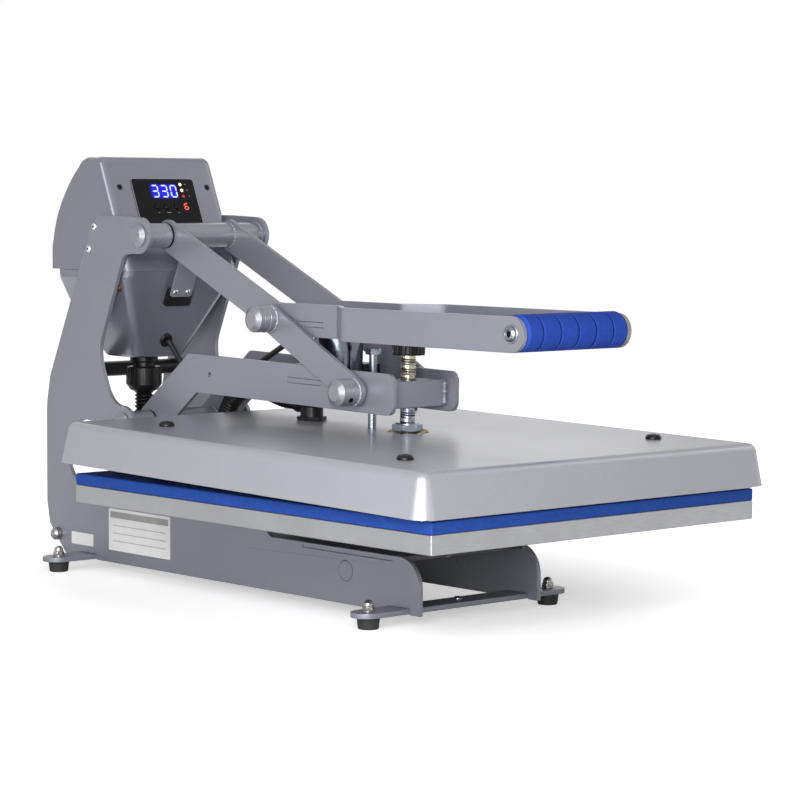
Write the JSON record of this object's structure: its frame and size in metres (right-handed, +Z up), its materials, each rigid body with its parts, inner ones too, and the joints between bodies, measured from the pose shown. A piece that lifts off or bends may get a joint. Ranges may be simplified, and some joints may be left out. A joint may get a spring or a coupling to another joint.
{
  "type": "clamshell heat press",
  "caption": "Closed clamshell heat press: hinged heated platen over a padded lower platen, toggle handle with foam grip, magnet lock and rear control box.",
  "frame": {"origin": "on the floor under the middle of the footprint", "axes": "+X to the operator's right, +Y to the back, +Z up"},
  "size_m": [0.439, 0.7446, 0.4284],
  "materials": {
    "frame_paint": "satin grey metallic paint",
    "cover_paint": "smooth grey metallic paint",
    "black_paint": "black paint",
    "bare_aluminium": "brushed",
    "plain_steel": "bare",
    "zinc_steel": "zinc plated",
    "nickel": "nickel plated",
    "magnet_chrome": "polished",
    "magnet_bracket": "grey plate with a black holder",
    "foot_rubber": "matte",
    "black_rubber": "matte",
    "blue_silicone": "matte blue silicone sponge",
    "blue_foam": "matte blue foam",
    "panel_black": "gloss black overlay",
    "circuit_board": "green board with a dark display",
    "button_black": "matte",
    "black_plastic": "satin",
    "knob_black": "satin",
    "black_screw": "black oxide",
    "conduit_plastic": "ribbed, satin",
    "cable_sheath": "smooth black sheath",
    "insulation": "fibre blanket"
  },
  "bodies": {
    "frame": {"side_plate_left": "frame_paint", "side_plate_right": "frame_paint", "front_foot_plate": "frame_paint", "rear_foot_plate": "frame_paint", "rubber_foot_front_left": "foot_rubber", "rubber_foot_front_right": "foot_rubber", "rubber_foot_rear_left": "foot_rubber", "rubber_foot_rear_right": "foot_rubber", "acorn_nut_front_left": "nickel", "acorn_nut_front_right": "nickel", "acorn_nut_rear_left": "nickel", "acorn_nut_rear_right": "nickel", "platen_support": "frame_paint", "lower_platen": "bare_aluminium", "silicone_pad": "blue_silicone", "rear_tie_tube": "black_paint", "rear_tie_bolt": "zinc_steel", "top_pivot_shaft": "frame_paint", "lower_pivot_shaft": "frame_paint", "control_hood": "cover_paint", "control_bin": "cover_paint", "control_panel": "panel_black", "circuit_board": "circuit_board", "power_inlet": "black_plastic", "handle_switch": "black_plastic", "switch_bracket": "frame_paint", "box_gland": "black_plastic", "cable_grommet": "black_rubber", "conduit": "conduit_plastic", "magnet_cable": "cable_sheath"},
    "button_1": {"button_1": "button_black"},
    "button_2": {"button_2": "button_black"},
    "button_3": {"button_3": "button_black"},
    "handle": {"handle_plate_left": "frame_paint", "handle_plate_right": "frame_paint", "handle_hub": "frame_paint", "toggle_pin_left": "frame_paint", "toggle_pin_right": "frame_paint", "grip_tube": "plain_steel", "foam_grip": "blue_foam", "grip_screw_left": "black_screw", "grip_screw_right": "black_screw", "striker_plate": "frame_paint"},
    "links": {"toggle_link_left": "frame_paint", "toggle_link_right": "frame_paint"},
    "arms": {"platen_arm_left": "frame_paint", "platen_arm_right": "frame_paint", "arm_hub": "frame_paint", "cross_bar": "frame_paint", "arm_cross_shaft": "frame_paint", "magnet_bracket": "magnet_bracket", "magnet": "magnet_chrome"},
    "platen": {"platen_cover": "cover_paint", "heat_platen": "bare_aluminium", "heating_element": "plain_steel", "insulation_blanket": "insulation", "guide_bolt": "plain_steel", "cover_gland": "black_plastic"},
    "screw": {"pressure_screw": "zinc_steel", "pressure_knob": "knob_black"}
  },
  "joints": [
    {"name": "handle_lift", "type": "hinge", "parent": "frame", "child": "handle", "pos_m": [0, 0.20827, 0.348], "axis": [-1, 0, 0], "range_deg": [0, 75]},
    {"name": "arm_lift", "type": "hinge", "parent": "frame", "child": "arms", "pos_m": [0, 0.23727, 0.155], "axis": [-1, 0, 0], "range_deg": [0, 35.7], "deforming": ["conduit", "magnet_cable"]},
    {"name": "link_swing", "type": "hinge", "parent": "handle", "child": "links", "pos_m": [0, 0.03447, 0.2698], "axis": [-1, 0, 0], "range_deg": [-99.4, 0]},
    {"name": "screw_turn", "type": "hinge", "parent": "platen", "child": "screw", "pos_m": [0, -0.11168, 0.14891], "axis": [0, -0.0175, 0.9998], "range_deg": [0, 1559]},
    {"name": "platen_height", "type": "slide", "parent": "arms", "child": "platen", "axis": [0, -0.0175, 0.9998], "range_m": [0, 0.01], "deforming": ["conduit"]},
    {"name": "button_1_press", "type": "slide", "parent": "frame", "child": "button_1", "axis": [0, 0.922, -0.3872], "range_m": [0, 0.001], "stiffness_N_per_m": 300},
    {"name": "button_2_press", "type": "slide", "parent": "frame", "child": "button_2", "axis": [0, 0.922, -0.3872], "range_m": [0, 0.001], "stiffness_N_per_m": 300},
    {"name": "button_3_press", "type": "slide", "parent": "frame", "child": "button_3", "axis": [0, 0.922, -0.3872], "range_m": [0, 0.001], "stiffness_N_per_m": 300}
  ],
  "couplings": [
    {"joint": "arm_lift", "follows": "handle_lift", "ratio": 0.476},
    {"joint": "link_swing", "follows": "handle_lift", "ratio": -1.3247},
    {"joint": "screw_turn", "follows": "platen_height", "rad_per_m": 2720.9}
  ]
}
